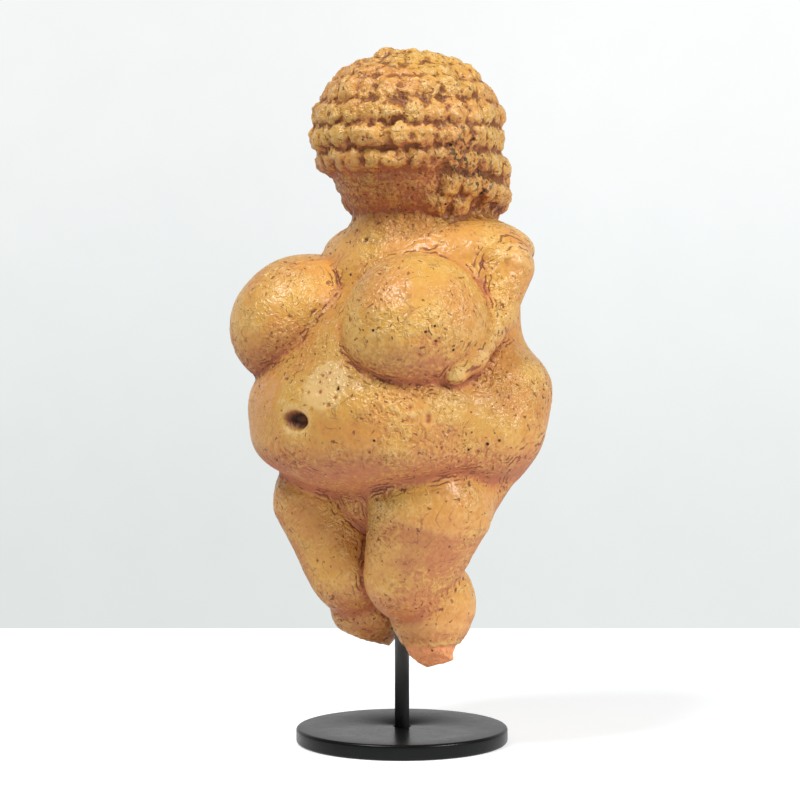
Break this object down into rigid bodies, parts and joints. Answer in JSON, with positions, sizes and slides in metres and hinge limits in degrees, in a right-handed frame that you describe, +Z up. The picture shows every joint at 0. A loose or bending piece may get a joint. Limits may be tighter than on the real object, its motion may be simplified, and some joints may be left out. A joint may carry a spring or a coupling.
{
  "type": "venus figurine",
  "caption": "Small cast figure of a full-bodied woman with a bead-capped blank head and broken leg ends, held upright by a thin rod in a round metal foot.",
  "frame": {"origin": "centre of the round foot's underside, on the surface that the stand rests on", "axes": "+Z up along the rod, -Y the way the figure faces, +X to the figure's own left"},
  "size_m": [0.0568, 0.0483, 0.1252],
  "materials": {
    "cast_stone": "ochre-toned cast stone, pitted, with darker hollows and a slight sheen on worn high places",
    "black_metal": "satin black coating, fine grain"
  },
  "bodies": {
    "root": {"figurine": "cast_stone", "stand_rod": "black_metal", "stand_foot": "black_metal"}
  },
  "joints": []
}
